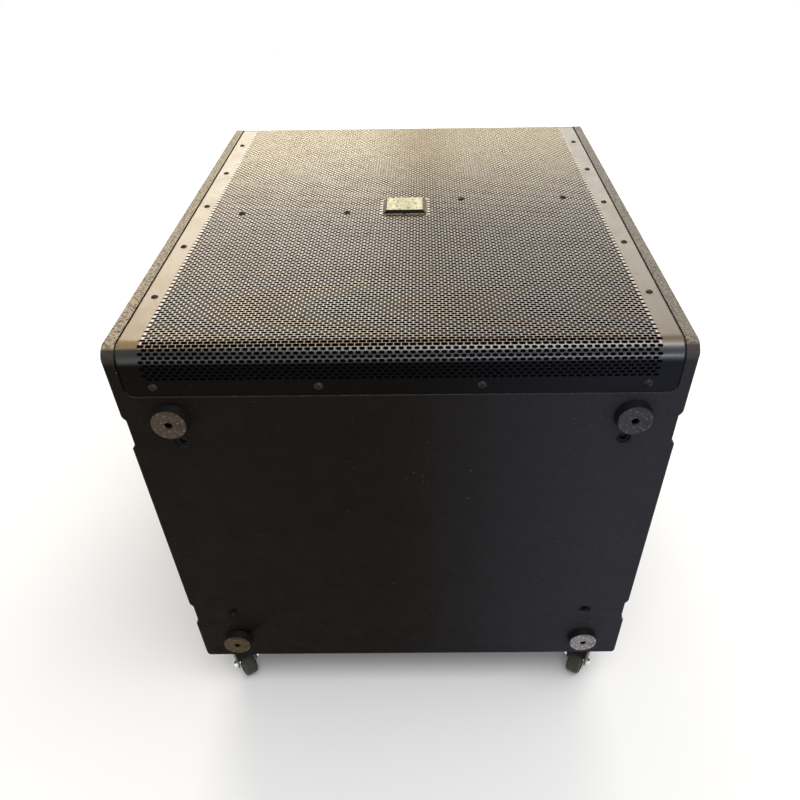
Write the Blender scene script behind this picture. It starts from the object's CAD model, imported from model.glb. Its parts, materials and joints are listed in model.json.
"""The looks of the subwoofer cabinet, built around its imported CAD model.

The cabinet lies on its back on four casters: its grille faces up (+Z) and its own bottom, with the
rubber feet, faces the camera (-Y).
"""

import json
import math
import random

import bmesh
import bpy
import numpy as np
from mathutils import Matrix, Vector


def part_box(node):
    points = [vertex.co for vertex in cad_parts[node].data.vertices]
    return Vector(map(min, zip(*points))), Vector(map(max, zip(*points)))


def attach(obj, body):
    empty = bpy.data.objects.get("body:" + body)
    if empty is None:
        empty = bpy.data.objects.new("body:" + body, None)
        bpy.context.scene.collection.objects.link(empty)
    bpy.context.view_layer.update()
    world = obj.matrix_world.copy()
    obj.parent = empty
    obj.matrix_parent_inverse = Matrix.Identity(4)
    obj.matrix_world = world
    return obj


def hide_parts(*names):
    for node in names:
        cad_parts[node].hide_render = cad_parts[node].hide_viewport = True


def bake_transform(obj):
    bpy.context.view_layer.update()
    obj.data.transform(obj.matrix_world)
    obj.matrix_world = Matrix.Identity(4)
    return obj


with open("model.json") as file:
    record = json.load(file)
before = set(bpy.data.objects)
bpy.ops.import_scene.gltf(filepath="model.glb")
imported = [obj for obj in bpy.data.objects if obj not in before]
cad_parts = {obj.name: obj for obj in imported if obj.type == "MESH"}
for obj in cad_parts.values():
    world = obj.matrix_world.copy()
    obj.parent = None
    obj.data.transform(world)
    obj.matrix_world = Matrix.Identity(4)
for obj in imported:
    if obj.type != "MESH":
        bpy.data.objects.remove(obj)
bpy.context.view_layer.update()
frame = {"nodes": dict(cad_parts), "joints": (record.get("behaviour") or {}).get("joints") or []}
random.seed(7)

# Places and sizes that follow from the CAD model, in metres
SIDE_LOW, SIDE_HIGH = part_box("side_panel_left")
HALF = -SIDE_LOW.x
Y_LOW, Y_HIGH = SIDE_LOW.y, SIDE_HIGH.y
Z_REAR, Z_FRONT = SIDE_LOW.z, SIDE_HIGH.z
HEIGHT = Y_HIGH - Y_LOW
PANEL = SIDE_HIGH.x - SIDE_LOW.x
GRILLE_LOW, GRILLE_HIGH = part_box("grille")
GRILLE_HALF = GRILLE_HIGH.x
WOOFER_LOW, WOOFER_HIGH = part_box("woofer_basket")
WOOFER_X, WOOFER_Y = (WOOFER_LOW.x + WOOFER_HIGH.x) / 2, (WOOFER_LOW.y + WOOFER_HIGH.y) / 2
Z_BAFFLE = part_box("front_baffle")[1].z
SIDES = (("left", -1), ("right", 1))
GAP = 0.0003
OVERSHOOT = 0.010

# Cabinet
CORNER_ROUND = 0.021
REAR_ROUND = 0.011
EDGE_ROUND = 0.002
UPRIGHT_ROUND = 0.003
GROOVE_WIDTH = 0.049
GROOVE_FLOOR = 0.036
GROOVE_DEPTH = 0.005
GROOVE_HEIGHTS = (0.1045, 0.442)
INSERT_X = 0.2445
INSERT_HEIGHTS = (0.1094, 0.429)
INSERT_RADIUS = 0.008
AMP_CUTOUT = (0.270, 0.190)
HANDLE_SEAT = 0.0028
POLE_CUTS = ((0.0425, -0.0029), (0.0230, -0.03))
THROUGH = 0.01

# Grille
SHEET = 0.0012
BEND = 0.020
FLANGE = 0.058
FLANGE_CORNER = 0.008
HOLE_PITCH = 0.00793
HOLE_ROWS = 0.00420
HOLE_LENGTH = 0.0062
HOLE_HEIGHT = 0.0034
HOLE_COUNT = 67
PLAIN_BAND = 0.0202
MARGIN_FLATNESS = 0.6
DUST_DEPTH = 0.030
CHANNEL_GAP = 0.0022
GRILLE_UPRIGHT = GRILLE_HIGH.z - BEND - GRILLE_LOW.z
BEND_LENGTH = math.pi / 2 * BEND
GRILLE_LENGTH = 2 * (GRILLE_UPRIGHT + BEND_LENGTH) + GRILLE_HIGH.y - GRILLE_LOW.y - 2 * BEND
BADGE_LOW, BADGE_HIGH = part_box("badge_plate")
STRAP_LOW, STRAP_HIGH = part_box("grille_strap")

FACING = {
    "X": Matrix(((0, 0, 1), (1, 0, 0), (0, 1, 0))).to_4x4(),
    "-X": Matrix(((0, 0, -1), (-1, 0, 0), (0, 1, 0))).to_4x4(),
    "-Y": Matrix(((1, 0, 0), (0, 0, -1), (0, 1, 0))).to_4x4(),
    "Y": Matrix(((-1, 0, 0), (0, 0, 1), (0, 1, 0))).to_4x4(),
    "Z": Matrix.Identity(4),
    "-Z": Matrix(((1, 0, 0), (0, -1, 0), (0, 0, -1))).to_4x4(),
}


# Materials -------------------------------------------------------------------------------------


class Surface:
    """A Principled material whose colour, roughness and bump come from layers of procedural nodes."""

    def __init__(self, name, colour, roughness, metallic=0.0, specular=0.5, coat=0.0, sheen=0.0):
        self.material = bpy.data.materials.new(name)
        self.material.use_nodes = True
        self.nodes = self.material.node_tree.nodes
        self.links = self.material.node_tree.links
        self.shader = self.nodes["Principled BSDF"]
        self.set(self.shader, {"Metallic": metallic, "Specular IOR Level": specular})
        self.set(self.shader, {"Coat Weight": coat, "Sheen Weight": sheen, "Coat Roughness": 0.25})
        self.coords = self.nodes.new("ShaderNodeTexCoord").outputs["Object"]
        self.colour = self.value_node("ShaderNodeRGB", (*colour, 1))
        self.roughness = self.value_node("ShaderNodeValue", roughness)
        self.normal = None

    def value_node(self, kind, value):
        node = self.nodes.new(kind)
        node.outputs[0].default_value = value
        return node.outputs[0]

    def set(self, node, inputs):
        for key, value in inputs.items():
            if isinstance(value, bpy.types.NodeSocket):
                self.links.new(value, node.inputs[key])
            else:
                node.inputs[key].default_value = value

    def node(self, kind, inputs=None, **properties):
        node = self.nodes.new(kind)
        for key, value in properties.items():
            setattr(node, key, value)
        self.set(node, inputs or {})
        return node

    def noise(self, scale, detail=3.0, rough=0.55, stretch=(1, 1, 1)):
        mapping = self.node("ShaderNodeMapping", {"Vector": self.coords, "Scale": stretch})
        values = {"Vector": mapping.outputs[0], "Scale": scale, "Detail": detail, "Roughness": rough}
        return self.node("ShaderNodeTexNoise", values).outputs["Fac"]

    def cells(self, scale, feature="F1"):
        values = {"Vector": self.coords, "Scale": scale}
        return self.node("ShaderNodeTexVoronoi", values, feature=feature).outputs["Distance"]

    def ramp(self, value, low, high):
        """Runs from 0 at low to 1 at high, smoothly."""
        node = self.node("ShaderNodeMapRange", {"Value": value, "From Min": low, "From Max": high})
        node.interpolation_type = "SMOOTHSTEP"
        return node.outputs[0]

    def patches(self, low, high, *noise):
        """Soft-edged patches: 0 where the noise is under low, 1 where it is over high."""
        return self.ramp(self.noise(*noise), low, high)

    def times(self, a, b):
        return self.node("ShaderNodeMath", {0: a, 1: b}, operation="MULTIPLY").outputs[0]

    def axis(self, name):
        return self.node("ShaderNodeSeparateXYZ", {0: self.coords}).outputs[name]

    def facing(self, axis, low, high):
        """1 where the surface's own direction along an axis of the world is high, 0 where it is low."""
        normal = self.node("ShaderNodeNewGeometry").outputs["Normal"]
        part = self.node("ShaderNodeSeparateXYZ", {0: normal}).outputs[axis]
        return self.ramp(part, low, high)

    def tint(self, amount, colour):
        mix = self.node("ShaderNodeMix", data_type="RGBA")
        other = colour if isinstance(colour, bpy.types.NodeSocket) else (*colour, 1)
        self.set(mix, {0: amount, 6: self.colour, 7: other})
        self.colour = mix.outputs[2]
        return self

    def polish(self, amount, roughness):
        mix = self.node("ShaderNodeMix", {0: amount, 2: self.roughness, 3: roughness})
        self.roughness = mix.outputs[0]
        return self

    def bump(self, height, depth, strength=1.0):
        inputs = {"Height": height, "Distance": depth, "Strength": strength}
        if self.normal is not None:
            inputs["Normal"] = self.normal
        self.normal = self.node("ShaderNodeBump", inputs).outputs[0]
        return self

    def done(self):
        self.set(self.shader, {"Base Color": self.colour, "Roughness": self.roughness})
        if self.normal is not None:
            self.set(self.shader, {"Normal": self.normal})
        return self.material


def dusty(s, left, right, plain_gloss, edge_gloss, dust_gloss):
    """Dust that has settled on what faces up near the front, and the gloss of worn rounded edges.

    Gives the amount of dust, which falls from left to right, and its colour.
    """
    up = s.facing("Z", 0.78, 0.89)
    turning = s.times(s.facing("Z", 0.05, 0.40), s.facing("Z", 0.92, 0.80))
    side = s.node("ShaderNodeMapRange", {"Value": s.axis("X"), "From Min": -HALF, "From Max": HALF})
    amount = s.node("ShaderNodeMapRange", {"Value": side.outputs[0], "To Min": 1.0, "To Max": 0.62})
    deep = Z_FRONT - DUST_DEPTH
    dust = s.times(s.times(up, amount.outputs[0]), s.ramp(s.axis("Z"), deep - 0.004, deep))
    gloss = s.node("ShaderNodeMapRange", {"Value": up, "To Min": plain_gloss, "To Max": dust_gloss})
    edge = s.node("ShaderNodeMapRange", {"Value": turning, "To Max": edge_gloss})
    total = s.node("ShaderNodeMath", {0: gloss.outputs[0], 1: edge.outputs[0]}, operation="ADD")
    s.set(s.shader, {"Specular IOR Level": total.outputs[0]})
    mix = s.node("ShaderNodeMix", data_type="RGBA")
    s.set(mix, {0: side.outputs[0], 6: (*left, 1), 7: (*right, 1)})
    return dust, mix.outputs[2]


def textured_paint():
    """Black cabinet paint, rolled to a hard pebbled texture, with dust and pale specks."""
    s = Surface("textured_paint", (0.0066, 0.0047, 0.0029), 0.60)
    s.tint(s.ramp(s.axis("X"), -0.05, 0.27), (0.0215, 0.0215, 0.0265))
    pebbles = s.noise(340, 2.5, 0.65)
    s.tint(s.times(s.ramp(pebbles, 0.52, 0.72), 0.3), (0.012, 0.011, 0.010))
    streaks = s.patches(0.62, 0.78, 60, 3, 0.6, (6, 1, 0.35))
    s.tint(s.times(s.times(streaks, s.patches(0.5, 0.7, 7)), 0.22), (0.045, 0.042, 0.038))
    dust, tone = dusty(s, (0.330, 0.258, 0.165), (0.230, 0.197, 0.148), 0.05, 0.22, 0.40)
    s.tint(s.times(s.facing("Z", 0.10, 0.70), 0.35), (0.075, 0.055, 0.040))
    s.tint(dust, tone)
    s.tint(s.times(s.facing("Z", 0.62, 0.92), s.ramp(pebbles, 0.52, 0.40)), (0.050, 0.040, 0.031))
    specks = s.times(s.ramp(s.cells(130), 0.10, 0.06), s.patches(0.60, 0.70, 23, 2))
    s.tint(s.times(specks, 0.7), (0.26, 0.25, 0.23))
    s.polish(s.patches(0.35, 0.75, 45, 3), 0.72)
    s.bump(pebbles, 0.0022, 1.0)
    s.bump(s.noise(1500, 2), 0.0004, 0.5)
    return s.done()


def powder_coat():
    """The grille's smooth black coat, dusty where it faces up.

    The dust lies thickest between the holes, and over their rims only towards the top of the cabinet.
    """
    s = Surface("powder_coat", (0.0019, 0.0015, 0.0011), 0.26)
    s.tint(s.ramp(s.axis("X"), -0.02, 0.28), (0.0075, 0.0075, 0.0125))
    dust, tone = dusty(s, (0.195, 0.132, 0.058), (0.160, 0.125, 0.078), 0.04, 0.90, 0.22)
    far = s.ramp(s.axis("Y"), -0.10, Y_HIGH)
    flat = s.node("ShaderNodeAttribute", attribute_name="flatness").outputs["Fac"]
    kept = s.ramp(flat, 0.36, MARGIN_FLATNESS)
    open_far = s.node("ShaderNodeMath", {0: kept, 1: far}, operation="MAXIMUM").outputs[0]
    s.tint(s.times(dust, open_far), tone)
    s.tint(s.times(dust, s.ramp(flat, MARGIN_FLATNESS + 0.06, 0.98)), (0.62, 0.50, 0.41))
    s.tint(s.times(s.times(dust, far), s.ramp(flat, MARGIN_FLATNESS - 0.02, 0.34)), (0.50, 0.40, 0.19))
    s.tint(s.times(s.times(far, s.ramp(flat, 0.20, 0.0)), 0.8), (0.50, 0.42, 0.26))
    s.tint(s.times(s.patches(0.62, 0.75, 240, 3), 0.2), (0.035, 0.032, 0.028))
    s.polish(s.patches(0.4, 0.7, 30, 3), 0.32)
    s.bump(s.noise(900, 2), 0.00012, 0.5)
    return s.done()


def foam_skin():
    """Black foam, dusty towards the top of the cabinet."""
    s = Surface("open_cell_foam", (0.0015, 0.0015, 0.0015), 1.0, specular=0.0)
    s.tint(s.ramp(s.cells(600), 0.0, 0.5), (0.0035, 0.0035, 0.0035))
    s.tint(s.times(s.ramp(s.axis("Y"), -0.06, 0.26), s.facing("Z", 0.5, 0.9)), (0.52, 0.43, 0.27))
    s.bump(s.cells(600), 0.001)
    return s.done()


def rubber(name, face, depth):
    """Black rubber whose face and rounded edge, beyond depth along its own axis, are worn and dusty."""
    s = Surface(name, (0.0035, 0.0033, 0.0031), 0.62, specular=0.12)
    s.tint(s.times(s.patches(0.5, 0.8, 160, 3), 0.5), (0.008, 0.0075, 0.007))
    worn = s.ramp(s.axis("Z"), depth - 0.0026, depth - 0.0016)
    s.tint(s.times(worn, s.patches(0.10, 0.55, 120, 4, 0.6)), face)
    s.tint(s.times(s.times(worn, s.patches(0.56, 0.66, 330, 3)), 0.8), [2.6 * c for c in face])
    s.tint(s.times(s.times(worn, s.patches(0.56, 0.68, 70, 2)), 0.6), [0.4 * c for c in face])
    s.bump(s.noise(420, 4, 0.6), 0.0005, 0.7)
    return s.done()


def plastic(name, colour, roughness=0.45, grain=700):
    """Moulded plastic with a fine grain."""
    s = Surface(name, colour, roughness, specular=0.25)
    s.tint(s.patches(0.4, 0.7, 25, 3), [1.5 * c for c in colour])
    s.polish(s.patches(0.4, 0.7, 60, 3), min(1.0, roughness + 0.12))
    s.bump(s.noise(grain, 2), 0.0002, 0.5)
    return s.done()


def metal(name, colour, roughness=0.35, metallic=1.0, brushed=(1, 1, 1), wear=0.35, specular=0.2):
    """Plated, cast or painted metal with uneven polish, stains and fine marks."""
    s = Surface(name, colour, roughness, metallic=metallic, specular=specular)
    s.tint(s.times(s.patches(0.50, 0.72, 90, 4), wear), [0.45 * c for c in colour])
    s.tint(s.times(s.patches(0.55, 0.75, 35, 3), wear), [min(1, 1.25 * c) for c in colour])
    s.polish(s.patches(0.35, 0.7, 150, 4), min(1.0, roughness + 0.2))
    s.bump(s.noise(420, 3, 0.6, brushed), 0.00015, 0.6)
    return s.done()


def cloth(name, colour, thread=0.0011):
    """A woven or pressed fibre, such as the surround, the spider and the cone."""
    s = Surface(name, colour, 0.88, specular=0.25, sheen=0.2)
    s.tint(s.patches(0.35, 0.7, 40, 4), [1.6 * c for c in colour])
    s.tint(s.times(s.ramp(s.cells(1 / thread), 0.2, 0.6), 0.5), [0.5 * c for c in colour])
    s.bump(s.cells(1 / thread), 0.0004, 0.8)
    return s.done()


def plywood():
    """Birch with long grain."""
    s = Surface("birch_plywood", (0.42, 0.29, 0.17), 0.68, specular=0.3)
    s.tint(s.patches(0.38, 0.66, 14, 5, 0.6, (0.35, 9, 9)), (0.60, 0.45, 0.29))
    s.tint(s.times(s.patches(0.55, 0.70, 60, 3, 0.6, (0.2, 14, 3)), 0.6), (0.24, 0.14, 0.07))
    s.bump(s.noise(90, 4, 0.6, (0.3, 9, 9)), 0.0004)
    return s.done()


def badge_finish():
    """Champagne metal, cast with a mottled top."""
    s = Surface("badge_metal", (0.46, 0.44, 0.29), 0.55, metallic=0.35, specular=0.2)
    s.tint(s.patches(0.50, 0.62, 230, 3, 0.6), (0.22, 0.21, 0.13))
    s.tint(s.patches(0.66, 0.70, 130, 2, 0.6), (0.04, 0.035, 0.02))
    s.polish(s.patches(0.4, 0.7, 200, 3), 0.65)
    s.bump(s.noise(260, 3), 0.0003, 0.6)
    return s.done()


def circuit_board():
    """Green solder resist over darker tracks."""
    s = Surface("solder_resist", (0.012, 0.10, 0.04), 0.35, specular=0.5, coat=0.3)
    tracks = s.ramp(s.cells(160, "DISTANCE_TO_EDGE"), 0.03, 0.06)
    s.tint(s.times(tracks, 0.6), (0.008, 0.06, 0.025))
    s.bump(tracks, 0.0001)
    return s.done()


LOOKS = {
    "paint": textured_paint(),
    "coat": powder_coat(),
    "foam": foam_skin(),
    "badge": badge_finish(),
    "badge_wall": metal("badge_wall", (0.0025, 0.0025, 0.0025), 0.7, 0.0),
    "badge_side": metal("badge_side", (0.12, 0.11, 0.075), 0.6, 0.2),
    "black_steel": metal("black_zinc_steel", (0.010, 0.010, 0.0105), 0.34, 0.5),
    "zinc": metal("zinc_plate", (0.62, 0.62, 0.60), 0.28),
    "bright": metal("worn_steel", (0.78, 0.78, 0.76), 0.16, wear=0.2),
    "screw": metal("black_screw", (0.0045, 0.0045, 0.0045), 0.40, 0.0),
    "flange_screw": metal("worn_black_screw", (0.030, 0.030, 0.032), 0.16, 0.9),
    "cast": metal("cast_black_aluminium", (0.030, 0.030, 0.031), 0.55, 0.4),
    "aluminium": metal("anodised_aluminium", (0.10, 0.10, 0.105), 0.42, 0.9, (1, 0.05, 1)),
    "copper": metal("varnished_copper", (0.62, 0.27, 0.12), 0.30, 1.0, (0.1, 0.1, 6)),
    "ferrite": metal("ferrite", (0.045, 0.045, 0.047), 0.72, 0.1),
    "plastic": plastic("black_abs", (0.014, 0.014, 0.0145)),
    "handle": plastic("black_handle", (0.016, 0.0158, 0.0155), 0.52, 420),
    "wheel": plastic("grey_black_wheel", (0.026, 0.024, 0.018), 0.55, 300),
    "red": plastic("red_rocker", (0.35, 0.012, 0.010), 0.22, 200),
    "print": plastic("white_print", (0.62, 0.62, 0.60), 0.6, 900),
    "cone": cloth("pulp_cone", (0.016, 0.0155, 0.015), 0.0016),
    "surround": cloth("treated_cloth", (0.018, 0.017, 0.0165), 0.0009),
    "spider": cloth("resin_cloth", (0.30, 0.15, 0.045), 0.0008),
    "plywood": plywood(),
    "board": circuit_board(),
    "cable": plastic("cable_jacket", (0.010, 0.010, 0.010), 0.5, 900),
}


# Shapes ----------------------------------------------------------------------------------------


def arc(centre, radius, start, end, steps):
    """Points on an arc, with angles in degrees."""
    angles = [math.radians(start + (end - start) * i / steps) for i in range(steps + 1)]
    return [(centre[0] + radius * math.cos(a), centre[1] + radius * math.sin(a)) for a in angles]


def rounded(low, high, radii, steps=6):
    """A rectangle with its own radius at each corner, counterclockwise from the lowest one."""
    (a0, b0), (a1, b1) = low, high
    r0, r1, r2, r3 = radii
    return (
        arc((a0 + r0, b0 + r0), r0, 180, 270, steps)
        + arc((a1 - r1, b0 + r1), r1, 270, 360, steps)
        + arc((a1 - r2, b1 - r2), r2, 0, 90, steps)
        + arc((a0 + r3, b1 - r3), r3, 90, 180, steps)
    )


def around(centre, size, radius, steps=6):
    """A rounded rectangle from its middle and its size."""
    low = (centre[0] - size[0] / 2, centre[1] - size[1] / 2)
    high = (centre[0] + size[0] / 2, centre[1] + size[1] / 2)
    return rounded(low, high, (radius,) * 4, steps)


def plan(node, axes="xy"):
    """The middle and the size of a CAD node along two axes."""
    low, high = [[getattr(corner, axis) for axis in axes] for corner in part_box(node)]
    return [(a + b) / 2 for a, b in zip(low, high)], [b - a for a, b in zip(low, high)]


def show(name, data, matrix=None):
    """Puts a mesh, curve, light or camera in the scene."""
    thing = bpy.data.objects.new(name, data)
    bpy.context.scene.collection.objects.link(thing)
    thing.matrix_world = matrix or Matrix.Identity(4)
    return thing


def make(shape, material=None, matrix=None):
    """An object from a bmesh."""
    bmesh.ops.recalc_face_normals(shape, faces=shape.faces)
    mesh = bpy.data.meshes.new("shape")
    shape.to_mesh(mesh)
    shape.free()
    if material:
        mesh.materials.append(material)
    return show("shape", mesh, matrix)


def smooth(thing, angle=35):
    """Smooth shading, with the edges over an angle kept sharp."""
    thing.data.shade_smooth()
    thing.data.set_sharp_from_angle(angle=math.radians(angle))
    return thing


def loft(rings, material=None):
    """A closed solid through rings with equal counts of points."""
    shape = bmesh.new()
    loops = [[shape.verts.new(point) for point in ring] for ring in rings]
    shape.faces.new(loops[0])
    shape.faces.new(loops[-1])
    for a, b in zip(loops, loops[1:]):
        for i in range(len(a)):
            shape.faces.new((a[i - 1], a[i], b[i], b[i - 1]))
    return make(shape, material)


def prism(outline, low, high, facing="Z", material=None):
    """An outline extruded from low to high: (x, y) along Z, (y, z) along X, (x, z) along Y."""
    order = {"X": (2, 0, 1), "Y": (0, 2, 1), "Z": (0, 1, 2)}[facing]
    unique = [p for i, p in enumerate(outline) if math.dist(p, outline[i - 1]) > 1e-7]
    rings = [[[(a, b, level)[k] for k in order] for a, b in unique] for level in (low, high)]
    return loft(rings, material)


def slab(centre, size, radius, low, high, material=None, steps=6):
    """A rounded rectangle extruded along Z."""
    return prism(around(centre, size, radius, steps), low, high, "Z", material)


def cutout(centre, size, radius, level, steps=6):
    """A slab that cuts right through a plate at some level."""
    return slab(centre, size, radius, level - THROUGH, level + THROUGH, None, steps)


def block(low, high, material=None):
    corners = [(low[0], low[1]), (high[0], low[1]), (high[0], high[1]), (low[0], high[1])]
    return prism(corners, low[2], high[2], "Z", material)


def rod(radius, low, high, centre=(0, 0, 0), facing="Z", material=None, steps=40):
    thing = prism(arc((0, 0), radius, 0, 360 - 360 / steps, steps - 1), low, high, "Z", material)
    thing.data.transform(at(centre, facing))
    return thing


def lathe(profile, matrix, material=None, steps=48, angle=35):
    """A closed profile of (radius, height) turned about local Z. A point on the axis closes it."""
    shape = bmesh.new()
    turns = [2 * math.pi * i / steps for i in range(steps)]
    rings = []
    for radius, height in profile:
        ring = [(radius * math.cos(t), radius * math.sin(t), height) for t in turns]
        if radius < 1e-7:
            ring = [(0, 0, height)]
        rings.append([shape.verts.new(point) for point in ring])
    for a, b in zip(rings, rings[1:] + rings[:1]):
        for i in range(steps):
            j = (i + 1) % steps
            corners = [a[i % len(a)], a[j % len(a)], b[j % len(b)], b[i % len(b)]]
            corners = [v for k, v in enumerate(corners) if v not in corners[:k]]
            if len(corners) > 2:
                shape.faces.new(corners)
    return smooth(make(shape, material, matrix), angle)


def settle(thing):
    """Replaces the object's mesh by what its modifiers make, and removes them."""
    depsgraph = bpy.context.evaluated_depsgraph_get()
    mesh = bpy.data.meshes.new_from_object(thing.evaluated_get(depsgraph))
    thing.modifiers.clear()
    thing.data = mesh
    return thing


def combine(thing, others, operation="DIFFERENCE"):
    """Booleans with each of the others in turn, which are then deleted."""
    for other in others:
        step = thing.modifiers.new("boolean", "BOOLEAN")
        step.object, step.operation, step.solver = other, operation, "EXACT"
    settle(thing)
    for other in others:
        bpy.data.objects.remove(other, do_unlink=True)
    return thing


def shade(thing, angle=40):
    """Smooth shading in which the big flat faces stay flat."""
    smooth(thing, angle)
    thing.modifiers.new("normals", "WEIGHTED_NORMAL").keep_sharp = True
    return thing


def soften(thing, width, segments=2, angle=38):
    """Rounds the sharp edges."""
    step = thing.modifiers.new("edges", "BEVEL")
    step.width, step.segments, step.limit_method = width, segments, "ANGLE"
    step.angle_limit = math.radians(angle)
    step.miter_outer = "MITER_ARC"
    return settle(shade(settle(thing)))


def join(things):
    """One object from several, each with its own material kept."""
    shape = bmesh.new()
    materials = []
    for thing in things:
        mesh = thing.data.copy()
        mesh.transform(thing.matrix_world)
        slots = []
        for material in thing.data.materials:
            if material not in materials:
                materials.append(material)
            slots.append(materials.index(material))
        before = len(shape.faces)
        shape.from_mesh(mesh)
        shape.faces.ensure_lookup_table()
        for face in shape.faces[before:]:
            face.material_index = slots[face.material_index] if slots else 0
        bpy.data.meshes.remove(mesh)
        bpy.data.objects.remove(thing, do_unlink=True)
    mesh = bpy.data.meshes.new("joined")
    shape.to_mesh(mesh)
    shape.free()
    for material in materials:
        mesh.materials.append(material)
    mesh.set_sharp_from_angle(angle=math.radians(35))
    return show("joined", mesh)


def finish(thing, name, body="cabinet", replaces=()):
    """Names a visible piece and gives it its material slot, its body and the nodes it stands for."""
    thing.name = name
    if replaces:
        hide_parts(*replaces)
    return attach(thing, body)


def at(point, facing="Z", turn=0.0):
    return Matrix.Translation(point) @ FACING[facing] @ Matrix.Rotation(turn, 4, "Z")


# Cabinet ---------------------------------------------------------------------------------------


def wrap_path(offset, depth, steps):
    """The grille's section in (y, z), moved inwards by offset."""
    low, high = GRILLE_LOW.y + offset, GRILLE_HIGH.y - offset
    front, radius = GRILLE_HIGH.z - offset, BEND - offset
    return (
        [(low, Z_FRONT - depth)]
        + arc((low + radius, front - radius), radius, 180, 90, steps)
        + arc((high - radius, front - radius), radius, 90, 0, steps)
        + [(high, Z_FRONT - depth)]
    )


def envelope():
    """The box with its rounded corners, where three long prisms cross."""
    side_radii = (UPRIGHT_ROUND,) * 2 + (CORNER_ROUND,) * 2
    end_radii = (REAR_ROUND,) * 2 + (EDGE_ROUND,) * 2
    side = rounded((Y_LOW, Z_REAR), (Y_HIGH, Z_FRONT), side_radii, 14)
    end = rounded((-HALF, Z_REAR), (HALF, Z_FRONT), end_radii, 10)
    face = around((0, (Y_LOW + Y_HIGH) / 2), (2 * HALF, HEIGHT), UPRIGHT_ROUND, 4)
    body = prism(side, -HALF - OVERSHOOT, HALF + OVERSHOOT, "X")
    along = prism(end, Y_LOW - OVERSHOOT, Y_HIGH + OVERSHOOT, "Y")
    up = prism(face, Z_REAR - OVERSHOOT, Z_FRONT + OVERSHOOT)
    return combine(body, [along, up], "INTERSECT")


def channel():
    """The step around the front that the grille lies in."""
    depth = FLANGE + 0.0012
    outline = wrap_path(-OVERSHOOT, depth, 8) + wrap_path(SHEET + 2 * GAP, depth, 14)[::-1]
    shape = prism(outline, -HALF, HALF, "X")
    half, corner = GRILLE_HALF + CHANNEL_GAP, FLANGE_CORNER + CHANNEL_GAP
    limits = rounded((-half, Z_FRONT - depth), (half, Z_FRONT + 2 * OVERSHOOT), (corner,) * 4, 8)
    limit = prism(limits, Y_LOW - 2 * OVERSHOOT, Y_HIGH + 2 * OVERSHOOT, "Y")
    return combine(shape, [limit], "INTERSECT")


def grooves(sign):
    """The stacking grooves of one side, wider at the mouth than at the floor."""
    spread = (GROOVE_WIDTH - GROOVE_FLOOR) / 2 * (1 + OVERSHOOT / GROOVE_DEPTH) + GROOVE_FLOOR / 2
    floor, beyond = sign * (HALF - GROOVE_DEPTH), sign * (HALF + OVERSHOOT)
    cutters = []
    for height in GROOVE_HEIGHTS:
        middle = Z_REAR + height
        outline = [
            (floor, middle - GROOVE_FLOOR / 2),
            (beyond, middle - spread),
            (beyond, middle + spread),
            (floor, middle + GROOVE_FLOOR / 2),
        ]
        cutters.append(prism(outline, Y_LOW - OVERSHOOT, Y_HIGH + OVERSHOOT, "Y"))
    return cutters


def shell():
    """The whole outside of the cabinet, with its edges rounded, before it is cut into boards."""
    body = combine(envelope(), [channel(), *grooves(-1), *grooves(1)])
    return soften(body, 0.0012, 2, 30)


def side_board(side, sign, outside):
    """A cheek, with a seat and an opening for its handle."""
    beyond = sign * (HALF + OVERSHOOT)
    ends = sorted((sign * (HALF - PANEL), beyond))
    low = (ends[0], Y_LOW - OVERSHOOT, Z_REAR - OVERSHOOT)
    high = (ends[1], Y_HIGH + OVERSHOOT, Z_FRONT + OVERSHOOT)
    board = block(low, high, LOOKS["paint"])
    combine(board, [show("outside", outside.data.copy())], "INTERSECT")
    middle, size = plan(f"handle_{side}", "yz")
    seat = [v + 2 * GAP for v in size]
    hole = [v - 0.021 for v in seat]
    cutters = [
        prism(around(middle, seat, 0.016), *sorted((sign * (HALF - HANDLE_SEAT), beyond)), "X"),
        prism(around(middle, hole, 0.014), *sorted((0, beyond)), "X"),
    ]
    shade(combine(board, cutters))
    finish(board, f"cheek_{side}", replaces=[f"side_panel_{side}"])


def insert_places():
    return [(x, Y_LOW, Z_REAR + height) for x in (-INSERT_X, INSERT_X) for height in INSERT_HEIGHTS]


def flat_boards(outside):
    """The bottom, top and rear boards, flush with the sides so that the paint runs over the joints."""
    inner = HALF - PANEL
    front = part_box("bottom_panel")[1].z
    centre = (0, Y_HIGH, (Z_REAR + Z_FRONT) / 2)
    for name, edge, sign in (("bottom", Y_LOW, 1), ("top", Y_HIGH, -1)):
        reach = sorted((edge - sign * OVERSHOOT, edge + sign * PANEL))
        board = block((-inner, reach[0], Z_REAR - OVERSHOOT), (inner, reach[1], front), LOOKS["paint"])
        combine(board, [show("outside", outside.data.copy())], "INTERSECT")
        if name == "bottom":
            radius, depth = INSERT_RADIUS + 0.0002, 0.0075
            cutters = [rod(radius, -depth, THROUGH, place, "-Y") for place in insert_places()]
        else:
            cutters = [rod(radius, low, THROUGH, centre, "Y") for radius, low in POLE_CUTS]
        shade(combine(board, cutters))
        finish(board, f"{name}_board", replaces=[f"{name}_panel"])
    low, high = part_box("rear_panel")
    board = block((-inner, Y_LOW + PANEL, low.z), (inner, Y_HIGH - PANEL, high.z), LOOKS["paint"])
    shade(combine(board, [cutout(plan("amp_plate")[0], AMP_CUTOUT, 0.006, (low.z + high.z) / 2)]))
    finish(board, "rear_board", replaces=["rear_panel"])


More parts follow.
